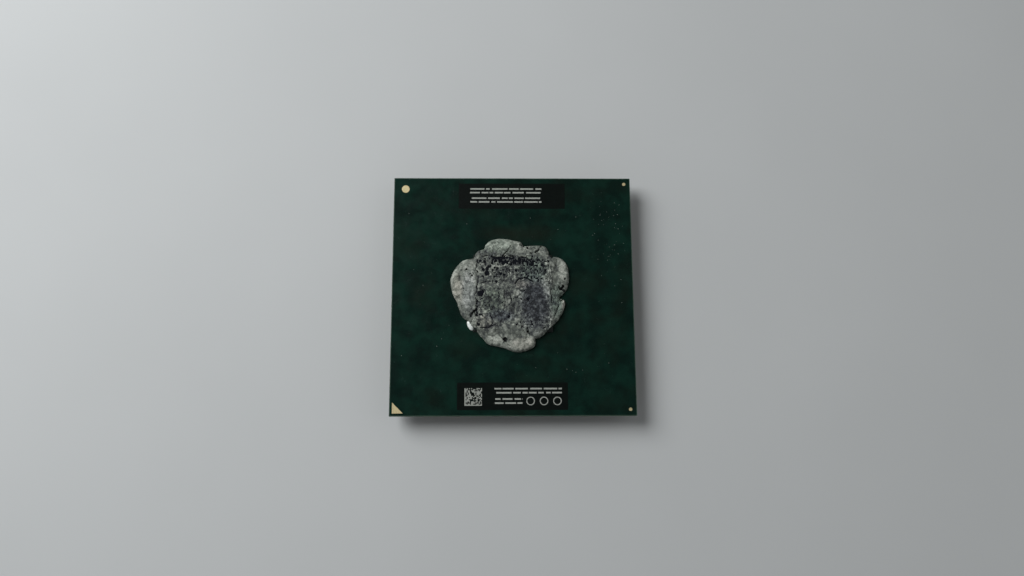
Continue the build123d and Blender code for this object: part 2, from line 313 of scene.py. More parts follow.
# Gold marks on the top face: a disc, two dots and the triangle that marks the
# keyed corner. Each is bare copper with nickel and a thin matt coat of gold,
# set a little below the mask around it.
immersion_gold = mottled(
    "immersion_gold", 0.25, "#cdbf94", "#e3d7b2", (0.04, 0.006), (0.12, (0.60, 0.80)), Metallic=1.0
)
for node in ("fiducial_pad", "corner_dots", "pin_one_triangle", "pin_pads", "test_pads"):
    finish_node(node, immersion_gold)


# Pins: 0.3 mm copper-alloy wire with a nail head, plated bright gold. The head
# stands against its pad and the shank hangs straight down to a rounded tip.
# Each row keeps its own piece, and each pin leans a hair its own way.
def plant(tree, given, inputs):
    """Stands a copy of the given form at each point, and ends the tree."""
    form = add_node(tree, "GeometryNodeObjectInfo", {"Object": given["Form"]})
    inputs = {"Instance": form.outputs["Geometry"], **inputs}
    planted = add_node(tree, "GeometryNodeInstanceOnPoints", inputs)
    end_tree(tree, planted.outputs[0], given["Material"])


def sway(tree, given, tilt, axes, spin=0.0):
    """A random turn by up to the named tilt either way about these axes, and by `spin` about Z."""
    back = add_node(tree, "ShaderNodeMath", {0: given[tilt], 1: -1.0}, operation="MULTIPLY")
    least = add_node(tree, "ShaderNodeCombineXYZ", {axis: back.outputs[0] for axis in axes})
    most = add_node(
        tree, "ShaderNodeCombineXYZ", {"Z": spin, **{axis: given[tilt] for axis in axes}}
    )
    limits = {0: least.outputs[0], 1: most.outputs[0], "Seed": given["Seed"]}
    return add_node(tree, "FunctionNodeRandomValue", limits, data_type="FLOAT_VECTOR").outputs[0]


def keep_form(name, form):
    """Turns a finished form into a piece."""
    mesh = bpy.data.meshes.new(name)
    form.to_mesh(mesh)
    form.free()
    return new_piece(name, mesh)


def lathe(name, profile_mm, sides):
    """A closed round form about Z from radius and height pairs, upwards, ends on the axis."""
    form = bmesh.new()
    rings = []
    for radius, height in profile_mm:
        turns = range(sides) if radius else range(1)
        angles = [2 * math.pi * turn / sides for turn in turns]
        rings.append([
            form.verts.new((radius * math.cos(a) * MM, radius * math.sin(a) * MM, height * MM))
            for a in angles
        ])
    for lower, upper in zip(rings, rings[1:]):
        for side in range(sides):
            corners = [
                lower[side % len(lower)],
                lower[(side + 1) % len(lower)],
                upper[(side + 1) % len(upper)],
                upper[side % len(upper)],
            ]
            form.faces.new(list(dict.fromkeys(corners)))
    return keep_form(name, form)


pin_gold = mottled(
    "pin_gold_plate", 0.5, "#c99f4e", "#e3c27c",
    relief=(0.06, 0.002, 2.0, (1, 1, 8)),
    gloss=(0.1, (0.2, 0.36), 2.0, (1, 1, 6)),
    Metallic=1.0,
)

full_turn = 6.28
row_tree, given = start_tree("pin_row", [
    ("Form", "Object"),
    ("First Pin", "Vector"),
    ("Pitch", "Vector"),
    ("Count", "Int"),
    ("Gap From", "Int"),
    ("Gap To", "Int"),
    ("Lean", "Float"),
    ("Seed", "Int"),
    ("Material", "Material"),
])
pin_line = add_node(row_tree, "GeometryNodeMeshLine", {
    "Count": given["Count"], "Start Location": given["First Pin"], "Offset": given["Pitch"],
})
number = add_node(row_tree, "GeometryNodeInputIndex").outputs[0]
before_gap, after_gap = (
    add_node(
        row_tree, "FunctionNodeCompare", {2: number, 3: given[end]}, data_type="INT", operation=test
    )
    for end, test in (("Gap From", "LESS_THAN"), ("Gap To", "GREATER_EQUAL"))
)
either_side = {0: before_gap.outputs[0], 1: after_gap.outputs[0]}
outside_gap = add_node(row_tree, "FunctionNodeBooleanMath", either_side, operation="OR")
plant(row_tree, given, {
    "Points": pin_line.outputs[0],
    "Selection": outside_gap.outputs[0],
    "Rotation": sway(row_tree, given, "Lean", "XY", full_turn),
})

# The form is drawn from its head down, so that a lean turns it about the head.
pin_low, pin_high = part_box("pin_row_c")
pin_length_mm = (pin_high.z - pin_low.z) / MM
pin_radius_mm = (pin_high.x - pin_low.x) / 2 / MM
pin_form = lathe(
    "pin_form",
    [
        (0, 0.004 - pin_length_mm),
        (pin_radius_mm * 0.55, 0.006 - pin_length_mm),
        (pin_radius_mm * 0.88, 0.025 - pin_length_mm),
        (pin_radius_mm, 0.07 - pin_length_mm),
        (pin_radius_mm, -0.30),
        (pin_radius_mm * 1.15, -0.24),
        (0.30, -0.215),
        (0.33, -0.19),
        (0.33, -0.07),
        (0.31, -0.05),
        (0, -0.05),
    ],
    14,
)
solder_form = lathe(
    "solder_form",
    [(0, -0.14), (0.335, -0.14), (0.35, -0.10), (0.375, -0.05), (0.41, -0.005), (0, -0.005)],
    14,
)

pins_per_row = 26
middle_gap = (6, 20)
full_rows = 6
row_names = [
    node["node"] for node in frame["record"]["subparts"] if node["node"].startswith("pin_row_")
]
row_names.sort(key=lambda name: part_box(name)[0].x)
pitch = (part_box("pin_row_c")[1].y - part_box("pin_row_c")[0].y - 2 * pin_radius_mm * MM) / (
    pins_per_row - 1
)
fillet_rows = []
for row, name in enumerate(row_names):
    low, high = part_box(name)
    count = round((high.y - low.y) / pitch - 2 * pin_radius_mm * MM / pitch) + 1
    has_gap = full_rows <= row < pins_per_row - full_rows
    centre_x = (low.x + high.x) / 2
    values = {
        "Form": pin_form,
        "First Pin": (centre_x, low.y + pin_radius_mm * MM, high.z),
        "Pitch": (0.0, pitch, 0.0),
        "Count": count,
        "Gap From": middle_gap[0] if has_gap else count,
        "Gap To": middle_gap[1] if has_gap else count,
        "Lean": math.radians(0.35),
        "Seed": row,
        "Material": pin_gold,
    }
    pins = grow("pins_" + name.removeprefix("pin_"), row_tree, values, None, 35)
    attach(pins, "root")
    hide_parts(name)
    fillet_rows.append(values)


# Pin solder: a collar of tin alloy that grips each nail head and wets out over
# its pad. It is dull grey with a grainy freeze, lighter than the gold above it.
def join(pieces, name):
    """Joins pieces into the first one and names it."""
    with bpy.context.temp_override(active_object=pieces[0], selected_editable_objects=pieces):
        bpy.ops.object.join()
    pieces[0].name = name
    return pieces[0]


solder = mottled(
    "reflowed_solder", 0.15, "#9fa09c", "#c6c7c2", (0.06, 0.006), (0.08, (0.28, 0.5)), Metallic=1.0
)
finish_node("solder_bumps", solder)

collar_parts = []
for row, values in enumerate(fillet_rows):
    values.update({"Form": solder_form, "Material": solder})
    collar_parts.append(grow(f"collar_row_{row}", row_tree, values, None, 40))
pin_collars = join(collar_parts, "pin_solder_collars")
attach(pin_collars, "root")
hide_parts("pin_solder")
bpy.data.objects.remove(pin_form)
bpy.data.objects.remove(solder_form)


# Capacitors in the middle of the underside: fired ceramic blocks with rounded
# edges, a tinned metal cup over each end, and a hollow wedge of solder from
# each cup to its pad. They are laid in a regular block by machine.
def rounded_block(name, low, high, radius_mm):
    """A closed block between two corners in millimetres, with rounded edges."""
    form = bmesh.new()
    bmesh.ops.create_cube(form, size=1.0)
    low, high = Vector(low) * MM, Vector(high) * MM
    for corner in form.verts:
        corner.co = Vector((
            low[axis] + (high[axis] - low[axis]) * (corner.co[axis] + 0.5) for axis in range(3)
        ))
    bmesh.ops.bevel(
        form, geom=form.edges[:], offset=radius_mm * MM, segments=2, profile=0.5, affect="EDGES"
    )
    return keep_form(name, form)


field_tree, given = start_tree("capacitor_field", [
    ("Form", "Object"),
    ("Columns", "Int"),
    ("Rows", "Int"),
    ("Size X", "Float"),
    ("Size Y", "Float"),
    ("Level", "Float"),
    ("Skew", "Float"),
    ("Seed", "Int"),
    ("Material", "Material"),
])
grid = add_node(field_tree, "GeometryNodeMeshGrid", {
    "Size X": given["Size X"],
    "Size Y": given["Size Y"],
    "Vertices X": given["Columns"],
    "Vertices Y": given["Rows"],
})
lift = add_node(field_tree, "ShaderNodeCombineXYZ", {"Z": given["Level"]})
lifted = {"Geometry": grid.outputs[0], "Translation": lift.outputs[0]}
raised = add_node(field_tree, "GeometryNodeTransform", lifted)
skew = sway(field_tree, given, "Skew", "Z")
plant(field_tree, given, {"Points": raised.outputs[0], "Rotation": skew})

ceramic = mottled(
    "fired_capacitor_ceramic", 0.3, "#8a715a", "#a98e74", relief=(0.03, 0.004), Roughness=0.48
)
tinned_cup = mottled(
    "matte_tin_plate", 0.2, "#b5b4ad", "#d2d1ca", (0.05, 0.005), (0.08, (0.34, 0.55)), Metallic=1.0
)

cup_low, cup_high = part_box("capacitor_terminals")
columns, rows = 5, 6
capacitor_length_mm = 1.60
capacitor_width_mm = 0.80
cup_length_mm = 0.30
cup_wall_mm = 0.03
cup_height_mm = (cup_high.z - cup_low.z) / MM
span_x = cup_high.x - cup_low.x - capacitor_length_mm * MM
span_y = cup_high.y - cup_low.y - capacitor_width_mm * MM
field_values = {
    "Columns": columns,
    "Rows": rows,
    "Size X": span_x,
    "Size Y": span_y,
    "Level": cup_high.z,
    "Skew": math.radians(1.6),
    "Seed": 3,
}
half_length = capacitor_length_mm / 2
half_width = capacitor_width_mm / 2
body_form = rounded_block(
    "body_form",
    (cup_wall_mm - half_length, cup_wall_mm - half_width, cup_wall_mm - cup_height_mm),
    (half_length - cup_wall_mm, half_width - cup_wall_mm, -cup_wall_mm),
    0.05,
)
cups = [
    rounded_block("cup", (end, -half_width, -cup_height_mm), (other_end, half_width, 0), 0.07)
    for end, other_end in (
        (-half_length, cup_length_mm - half_length), (half_length - cup_length_mm, half_length)
    )
]
cup_form = join(cups, "cup_form")


def solder_wedge(name, side):
    """A hollow-faced wedge from the pad's outer end up the end of a cup."""
    form = bmesh.new()
    reach, climb = 0.24, 0.34
    steps = 6
    section = [(0, 0)]
    for step in range(steps + 1):
        angle = math.pi / 2 * step / steps
        section.append((reach * (1 - math.sin(angle)), -climb * (1 - math.cos(angle))))
    ends = []
    for y, shrink in ((-half_width * 0.92, 0.8), (-half_width * 0.7, 1.0),
                      (half_width * 0.7, 1.0), (half_width * 0.92, 0.8)):
        ends.append([
            form.verts.new((
                side * (half_length - 0.01 + x * shrink) * MM, y * MM, z * shrink * MM
            ))
            for x, z in section
        ])
    count = len(section)
    for near, far in zip(ends, ends[1:]):
        for index in range(count):
            after = (index + 1) % count
            form.faces.new((near[index], near[after], far[after], far[index]))
    form.faces.new(ends[0])
    form.faces.new(ends[-1])
    bmesh.ops.recalc_face_normals(form, faces=form.faces[:])
    return keep_form(name, form)


wedge_form = join([solder_wedge("wedge_form", 1), solder_wedge("other_wedge", -1)], "wedge_form")
for name, form, material, slot, node in (
    ("capacitor_ceramic_blocks", body_form, ceramic, "capacitor_ceramic", "capacitor_bodies"),
    ("capacitor_tinned_cups", cup_form, tinned_cup, "tin_plate", "capacitor_terminals"),
    ("capacitor_solder_wedges", wedge_form, solder, "solder", "capacitor_solder"),
):
    field_values.update({"Form": form, "Material": material})
    group = grow(name, field_tree, field_values, None, 40)
    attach(group, "root")
    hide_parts(node)
    bpy.data.objects.remove(form)


# Bare die: a polished block of silicon, flipped face down on its bumps. Its
# back is dark blue-grey and almost a mirror, and its sawn sides are duller.
silicon = mottled(
    "bare_silicon", 1.5, "#2e3138", "#3d4149", (0.02, 0.001), (0.2, (0.14, 0.3)), Metallic=0.85
)
finish_node("die_silicon", silicon)
finish_node("die_interconnect", silicon)


# Underfill: black filled epoxy that wicks under the die and climbs its sides.
# Its silica filler leaves the cured skin satin and slightly wavy.
underfill = mottled(
    "cured_underfill", 0.5, "#0b1411", "#141d18", (0.4, 0.02), Roughness=0.52,
    Specular_IOR_Level=0.25,
)
finish_node("underfill", underfill)


# Dried thermal paste: grey zinc-oxide paste that a cooler pressed out past all
# four sides of the die. The cooler pulled off, so the die keeps a thin torn
# film, and the four lobes round it keep their rounded rims and dry cracks.
def smooth_step(value, low, high):
    share = np.clip((value - low) / (high - low), 0, 1)
    return share * share * (3 - 2 * share)


def wander(x, y, cell, seed):
    """Smooth random values from -1 to 1 with lumps of about `cell` millimetres."""
    lattice = np.random.default_rng(seed).uniform(-1, 1, (256, 256))
    u, v = x / cell + 128, y / cell + 128
    i, j = np.floor(u).astype(int), np.floor(v).astype(int)
    s, t = u - i, v - j
    s, t = s * s * (3 - 2 * s), t * t * (3 - 2 * t)
    i, j, i_next, j_next = i % 256, j % 256, (i + 1) % 256, (j + 1) % 256
    near = lattice[i, j] * (1 - s) + lattice[i_next, j] * s
    far = lattice[i, j_next] * (1 - s) + lattice[i_next, j_next] * s
    return near * (1 - t) + far * t


def rough_field(x, y, cell, seed, octaves=3):
    """Several sizes of random lumps added together, from about -1 to 1."""
    total = sum(
        wander(x, y, cell / 2 ** octave, seed + octave) / 2 ** octave for octave in range(octaves)
    )
    return total / (2 - 1 / 2 ** (octaves - 1))


def line_distance(x, y, points):
    """Distance from each place to a broken line, in the same units."""
    nearest = np.full(x.shape, 1e9)
    for (ax, ay), (bx, by) in zip(points, points[1:]):
        dx, dy = bx - ax, by - ay
        along = np.clip(((x - ax) * dx + (y - ay) * dy) / (dx * dx + dy * dy), 0, 1)
        nearest = np.minimum(nearest, np.hypot(x - ax - along * dx, y - ay - along * dy))
    return nearest


def patch(x, y, centre, radii, angle=0.0, softness=0.35):
    """1 inside an oval patch, fading to 0 over its soft edge."""
    turn = math.radians(angle)
    dx, dy = x - centre[0], y - centre[1]
    across = (dx * math.cos(turn) + dy * math.sin(turn)) / radii[0]
    up = (dy * math.cos(turn) - dx * math.sin(turn)) / radii[1]
    return 1 - smooth_step(np.hypot(across, up), 1 - softness, 1 + softness)


def closed_curve(points, per_span):
    """A smooth closed line through the points."""
    places = np.array(points, float)
    before, here, after, later = (
        np.roll(places, shift, axis=0)[:, None] for shift in (1, 0, -1, -2)
    )
    t = np.linspace(0, 1, per_span, endpoint=False)[None, :, None]
    curve = (
        2 * here
        + (after - before) * t
        + (2 * before - 5 * here + 4 * after - later) * t ** 2
        + (3 * here - before - 3 * after + later) * t ** 3
    ) / 2
    return curve.reshape(-1, 2)


# The rim, in millimetres from the middle of the carrier, goes round by the left
# lobe, the bottom lobe, the right lobe and the top lobe.
left_rim = [
    (-5.6, 5.25), (-7.0, 5.0), (-7.9, 4.3), (-8.6, 3.3), (-9.0, 2.3), (-9.0, 1.3), (-8.7, 0.0),
    (-8.1, -1.3), (-7.7, -2.5), (-7.2, -3.5), (-6.5, -4.0), (-6.0, -4.75), (-5.3, -5.1),
]
bottom_rim = [
    (-5.0, -5.8), (-4.2, -6.7), (-3.6, -7.35), (-2.6, -7.6), (-1.2, -7.95), (0.0, -8.4),
    (1.1, -8.5), (2.3, -8.15), (3.0, -7.7), (3.2, -7.15), (3.15, -6.65),
]
right_rim = [
    (3.75, -6.45), (4.5, -5.9), (5.3, -5.0), (6.3, -4.1), (7.0, -3.1), (7.35, -2.3),
    (7.55, -1.4), (7.3, -0.85), (7.0, -1.15), (6.75, -0.6), (7.3, -0.05), (7.8, 0.6),
    (8.15, 1.9), (8.15, 3.0), (7.9, 4.1), (7.3, 5.0), (6.2, 5.45), (5.5, 5.3),
]
top_rim = [
    (5.3, 5.9), (5.05, 6.7), (4.4, 7.1), (3.4, 7.15), (2.3, 7.1), (1.55, 7.1), (1.25, 7.65),
    (0.4, 7.85), (-0.7, 8.1), (-2.2, 8.15), (-3.2, 7.9), (-3.9, 7.3), (-4.25, 6.6),
    (-5.1, 6.3), (-5.45, 5.8),
]
rim_line = closed_curve(left_rim + bottom_rim + right_rim + top_rim, 24)
rim_steps = np.hypot(*(np.roll(rim_line, -1, axis=0) - rim_line).T)
rim_length = np.concatenate([[0], np.cumsum(rim_steps)])
rim_points = 660
wanted = np.linspace(0, rim_length[-1], rim_points, endpoint=False)
closed = np.vstack([rim_line, rim_line[:1]])
rim = np.stack([np.interp(wanted, rim_length, closed[:, axis]) for axis in (0, 1)], 1)
outward = np.stack([
    np.roll(rim[:, 1], 1) - np.roll(rim[:, 1], -1), np.roll(rim[:, 0], -1) - np.roll(rim[:, 0], 1)
], 1)
outward /= -np.linalg.norm(outward, axis=1)[:, None]
rim += outward * 0.05 * rough_field(rim[:, 0], rim[:, 1], 0.5, 11)[:, None]

rings = 118
middle = np.array([-0.4, -0.1])
share = 1 - (1 - np.arange(1, rings + 1) / rings) ** 1.22
paste_xy = middle + (rim[None] - middle) * share[:, None, None]
paste_xy = np.concatenate([paste_xy.reshape(-1, 2), middle[None]])
x, y = paste_xy.T
to_rim = np.concatenate([
    line_distance(part[:, 0], part[:, 1], np.vstack([rim[::2], rim[:1]]))
    for part in np.array_split(paste_xy, 12)
])

board = mask_high.z / MM
die_left, die_front = die_low.x / MM, die_low.y / MM
die_right, die_back = die_high.x / MM, die_high.y / MM
die_top = die_high.z / MM - board
paste_ceiling = cad_high.z / MM - board - 0.004
inside_die = np.minimum.reduce([x - die_left, die_right - x, y - die_front, die_back - y])
ragged_mm = 0.15
ragged = ragged_mm * rough_field(x, y, 0.8, 21)
on_die = smooth_step(inside_die + ragged, -0.42, -0.12)

# Lobes: a rounded rim, then a pressed top that climbs to the die, with wrinkles.
bead_width_mm = 0.55
lobe_height_mm = 0.72
crease_depth_mm = 0.055
bead = np.clip(to_rim / (bead_width_mm + 0.2 * wander(x, y, 1.6, 31)), 0, 1)
lobe = lobe_height_mm + 0.09 * rough_field(x, y, 2.0, 33) + 0.05 * rough_field(x, y, 0.5, 37)
climb = 0.85 * smooth_step(inside_die, -1.3, -0.25)
lobe = lobe * (1 - climb) + (die_top + 0.03) * climb
fold = 1 - np.abs(rough_field(x, y, 1.1, 41, 4)) * 2
crease = smooth_step(fold, 0.62, 0.98) * bead
lobe = np.sqrt(1 - (1 - bead) ** 2) * (lobe - crease_depth_mm * crease)

# Film: thin paste that tore into branching ridges when the cooler came away.
film_mm = 0.024
ridge_mm = 0.028
torn = 1 - np.abs(rough_field(x * 1.25, y, 0.8, 51, 4)) * 2
film = die_top + film_mm + ridge_mm * smooth_step(torn, 0.3, 1.0)
film = film + 0.012 * rough_field(x, y, 0.3, 55)
height = lobe * (1 - on_die) + film * on_die

# How light each place is, from 0 for bare dark film to 1 for the palest crust. Besides the paste's
# own shades, it carries painted shade: darker in creases, vein grooves, cracks, pits and pin-holes,
# and lighter and darker on the ridges beside the die.
veins = smooth_step(1 - np.abs(rough_field(x, y, 0.55, 121, 3)) * 2.2, 0.55, 1.0)
tone = 0.65 + 0.26 * rough_field(x, y, 1.4, 61) + 0.40 * rough_field(x, y, 0.34, 65)
# Painted shade: creases and the shallow vein grooves are painted darker, on the lobes and on the
# film.
tone -= 0.26 * crease + 0.14 * veins
tone_film = 0.48 + 0.26 * rough_field(x, y, 1.1, 71) + 0.26 * (torn - 0.5)
tone_film += 0.70 * rough_field(x, y, 0.30, 75) - 0.34 * veins
over_edge = smooth_step(inside_die + 3 * ragged, -0.9, 0.5)
tone = tone * (1 - over_edge) + tone_film * over_edge

# Patches of the film and lobes: centre, radii, turn, tone there, how strongly.
for centre, radii, angle, level, strength, swell in (
    ((3.3, -1.6), (1.75, 3.3), 8, 0.22, 0.88, -0.03),
    ((3.2, -0.2), (1.2, 1.1), 0, 0.20, 0.6, -0.02),
    ((0.9, -2.2), (1.2, 1.6), 30, 0.28, 0.6, -0.02),
    ((-3.0, -1.1), (1.2, 1.5), 15, 0.40, 0.85, -0.01),
    ((-1.7, -3.3), (1.5, 0.6), -5, 0.20, 0.85, -0.03),
    ((-1.8, -2.2), (1.4, 0.8), -20, 0.28, 0.6, -0.02),
    ((-0.8, 0.3), (0.9, 1.8), 10, 0.33, 0.65, -0.02),
    ((0.2, 4.75), (2.7, 0.5), 0, 0.14, 0.85, -0.05),
    ((2.9, 3.3), (1.7, 1.5), 0, 0.34, 0.6, -0.02),
    ((3.6, 5.2), (1.3, 0.7), -10, 0.40, 0.55, -0.02),
    ((0.45, -0.05), (0.5, 0.52), 20, 0.76, 0.9, 0.02),
    ((1.6, 1.35), (1.1, 0.38), 22, 0.70, 0.85, 0.02),
    ((-2.8, 1.4), (1.6, 0.7), -18, 0.44, 0.6, 0.0),
    ((-3.7, 3.9), (1.4, 1.2), 0, 0.60, 0.45, 0.01),
    ((-4.0, -4.2), (1.2, 1.0), 0, 0.62, 0.6, 0.01),
    ((0.4, -4.5), (1.6, 0.7), 0, 0.56, 0.6, 0.01),
    ((0.2, -5.5), (3.4, 0.8), 0, 0.52, 0.5, 0.0),
    ((1.0, -7.4), (2.0, 0.9), 10, 0.80, 0.7, 0.02),
    ((-2.8, -6.7), (1.1, 0.5), -8, 0.78, 0.7, 0.02),
    ((-1.9, 7.2), (1.9, 0.8), 5, 0.86, 0.8, 0.03),
    ((0.5, 6.5), (0.9, 0.6), 10, 0.74, 0.7, 0.03),
    ((-8.2, 1.0), (0.7, 2.6), 8, 0.88, 0.75, 0.02),
    ((-6.5, 0.8), (0.9, 2.9), 0, 0.74, 0.7, 0.02),
    ((-6.7, 3.8), (1.3, 1.1), 30, 0.66, 0.6, 0.0),
    ((7.4, 3.4), (0.7, 1.8), -6, 0.72, 0.6, 0.02),
    ((6.1, 2.4), (0.42, 2.3), -8, 0.30, 0.8, -0.09),
    ((6.1, -0.6), (0.8, 0.9), 0, 0.32, 0.8, -0.10),
    ((7.35, -1.7), (0.3, 0.9), -12, 0.86, 0.9, 0.04),
    ((6.2, -2.3), (0.6, 1.6), 28, 0.40, 0.7, -0.08),
):
    cover = strength * patch(x + ragged * 1.2, y + ragged, centre, radii, angle)
    tone = tone * (1 - cover) + (level + 0.75 * (tone - 0.5)) * cover
    height += swell * cover
height -= 0.016 * veins * bead
film_reach_mm = 0.30
film_floor = die_top + 0.008 + 0.01 * (1 + rough_field(x, y, 0.18, 85))
film_reach = film_reach_mm + 0.18 * rough_field(x, y, 0.7, 89)
film_hold = smooth_step(inside_die + film_reach, -0.14, 0.0)
height = np.maximum(height, film_floor * film_hold)

# Ridges left upright along the right edge of the die by the cooler's base. Their crests are painted
# lighter and their troughs darker: painted light and shade.
beside_right = patch(x, y, (5.35, 0.8), (0.42, 5.6), 0, 0.3)
ridge_pitch_mm = 0.34
stripe = np.sin((x + 0.50 * rough_field(x, y, 1.0, 81)) * 2 * math.pi / ridge_pitch_mm)
stripe *= smooth_step(rough_field(x, y, 0.9, 83), -0.35, 0.25)
height += 0.026 * stripe * beside_right
# Painted light and shade: the tone follows the ridge height.
tone += 0.26 * stripe * beside_right

# Dry cracks: their lines, how wide they gape and how deep they go. Each crack is also painted
# darker along its gap, as painted shade.
crack_wobble_x = 0.30 * rough_field(x, y, 0.9, 91, 4)
crack_wobble_y = 0.30 * rough_field(x, y, 0.9, 95, 4)
unbroken = smooth_step(rough_field(x, y, 0.8, 97), -0.45, 0.05)
for line, width, depth in (
    ([(-5.1, 5.0), (-5.15, 3.2), (-5.05, 1.6), (-5.2, 0.4), (-5.5, -0.3), (-5.1, -1.3)], 0.05, 0.2),
    ([(-4.7, 1.3), (-3.6, 1.9), (-2.5, 1.6), (-1.9, 0.7), (-1.9, -0.6)], 0.06, 0.05),
    ([(-1.9, -0.6), (-2.3, -1.9), (-3.3, -2.6), (-4.3, -2.9)], 0.06, 0.05),
    ([(-0.5, 1.2), (-0.3, -1.0), (-0.6, -3.2)], 0.06, 0.05),
    ([(-1.2, 0.6), (-1.0, -1.2), (-1.4, -2.6)], 0.06, 0.05),
    ([(-4.9, -0.75), (-4.3, -0.65), (-4.05, -0.1), (-4.2, 0.55), (-4.7, 0.7)], 0.06, 0.08),
    ([(-5.1, -1.3), (-5.1, -2.2), (-5.6, -2.7), (-6.15, -3.3)], 0.13, 0.4),
    ([(-5.3, -2.4), (-5.15, -3.4), (-5.1, -4.6)], 0.09, 0.3),
    ([(-5.6, -2.7), (-5.3, -3.3)], 0.06, 0.25),
    ([(-0.2, 7.1), (-0.6, 6.5), (-0.8, 6.0), (-1.5, 5.5)], 0.09, 0.3),
    ([(4.1, 6.9), (3.7, 6.2), (3.3, 5.9)], 0.10, 0.3),
    ([(2.7, 5.9), (2.8, 5.3)], 0.12, 0.25),
    ([(-3.1, 5.35), (-1.8, 5.2), (-0.6, 5.45), (1.0, 5.2), (1.9, 5.3)], 0.12, 0.35),
    ([(-4.9, 6.0), (-4.3, 5.3), (-3.3, 5.4)], 0.07, 0.2),
    ([(-7.9, 3.1), (-7.6, 1.9), (-7.3, 1.2), (-7.0, 0.1)], 0.06, 0.10),
    ([(0.0, 1.1), (0.6, 1.9), (1.5, 2.1), (2.6, 2.0), (3.6, 1.6)], 0.09, 0.10),
    ([(0.7, -0.6), (1.2, -0.1), (1.7, 0.4)], 0.10, 0.10),
    ([(5.5, 1.8), (5.6, 0.2), (5.5, -1.4)], 0.08, 0.22),
    ([(6.5, -1.0), (6.6, -2.0), (6.2, -3.2), (5.5, -4.2)], 0.07, 0.18),
    ([(2.0, -5.0), (2.3, -5.8), (1.9, -6.1)], 0.08, 0.2),
    ([(2.6, -3.9), (2.9, -4.8)], 0.07, 0.10),
    ([(-3.3, -4.9), (-2.7, -4.1), (-3.2, -3.3)], 0.08, 0.10),
    ([(-4.8, -5.0), (-3.5, -5.0), (-2.6, -4.6)], 0.06, 0.15),
    ([(1.3, 7.6), (0.9, 7.2), (1.6, 6.9)], 0.05, 0.15),
):
    gap = line_distance(x + crack_wobble_x, y + crack_wobble_y, line)
    cut = (1 - smooth_step(gap, width * 0.35, width * 1.25)) * unbroken
    height -= depth * cut
    # Painted shade inside the crack.
    tone -= 0.5 * cut

# Pits where bubbles burst: place and radius of the large ones. Each pit is painted darker inside,
# as painted shade, and its raised lip a little lighter, as a painted highlight.
for pit_x, pit_y, radius in (
    (-4.7, 4.7, 0.20), (-4.1, 4.6, 0.20), (-3.0, 4.35, 0.18), (-2.5, 4.7, 0.22), (-1.9, 4.9, 0.2),
    (-1.4, 4.3, 0.24), (-3.7, 3.55, 0.24), (-4.25, 3.35, 0.17), (-3.7, 2.9, 0.33),
    (-4.3, 2.4, 0.15), (-2.6, 3.7, 0.14), (-2.35, 1.65, 0.2), (-1.7, 2.8, 0.2),
    (-1.25, 2.65, 0.22), (0.45, 3.3, 0.22), (-0.3, 4.2, 0.2), (0.3, 4.6, 0.3), (1.0, 4.9, 0.26),
    (-5.9, 2.55, 0.15), (-6.7, 3.5, 0.13), (-6.15, 2.85, 0.10), (-4.7, -0.1, 0.42),
    (-4.35, 0.2, 0.25), (-1.1, -6.7, 0.34), (7.55, 2.1, 0.14), (7.3, 1.0, 0.2),
    (7.0, 0.6, 0.3), (7.4, 0.4, 0.18), (6.7, 0.9, 0.12), (2.15, 6.7, 0.16), (1.6, 6.9, 0.10),
    (2.1, -5.6, 0.18), (-0.6, -3.5, 0.2), (2.2, -0.9, 0.22), (1.2, -0.9, 0.14), (2.9, 4.2, 0.2),
    (2.2, 4.5, 0.15), (3.5, 4.0, 0.14), (5.15, 4.7, 0.14), (5.15, 4.1, 0.12), (-4.9, -4.6, 0.2),
):
    spot = np.hypot(x - pit_x, y - pit_y) / radius + 0.35 * rough_field(x, y, 0.3, 101)
    pit = 1 - smooth_step(spot, 0.72, 1.12)
    lip = np.exp(-((spot - 1.35) / 0.22) ** 2)
    depth = np.where(inside_die > 0, 0.16, 0.42)
    height += 0.014 * lip * on_die - depth * pit
    # Painted shade in the pit, painted highlight on its lip.
    tone += 0.05 * lip - 0.75 * pit

# Pin-holes: small ones crowd the upper part of the film and its dark band. Each is painted darker,
# as painted shade in the hole.
crowd = 0.0
for strength, centre, radii in (
    (0.55, (-2.6, 3.6), (2.7, 1.9)),
    (0.75, (0.6, 4.8), (3.4, 0.6)),
    (0.60, (3.0, 3.4), (2.2, 2.0)),
    (0.45, (-4.2, -2.2), (1.0, 1.8)),
    (0.35, (2.6, -4.9), (2.3, 1.0)),
    (0.25, (-6.3, 3.0), (0.9, 1.0)),
):
    crowd = crowd + strength * patch(x, y, centre, radii, 0, 0.4)
crowd = crowd + 0.02 * on_die
bubbles = wander(x, y, 0.21, 111) + 0.3 * wander(x, y, 0.11, 115)
pinhole = smooth_step(bubbles, 0.95 - crowd, 1.1 - crowd)
height -= np.where(inside_die > 0, 0.10, 0.16) * pinhole
# Painted shade in the pin-holes.
tone -= 0.34 * pinhole

height = np.clip(height, 0.0, paste_ceiling)
height = np.where(to_rim > 0.02, np.maximum(height, 0.05 * np.minimum(to_rim / 0.1, 1)), height)
height[(rings - 1) * rim_points:rings * rim_points] = 0.0

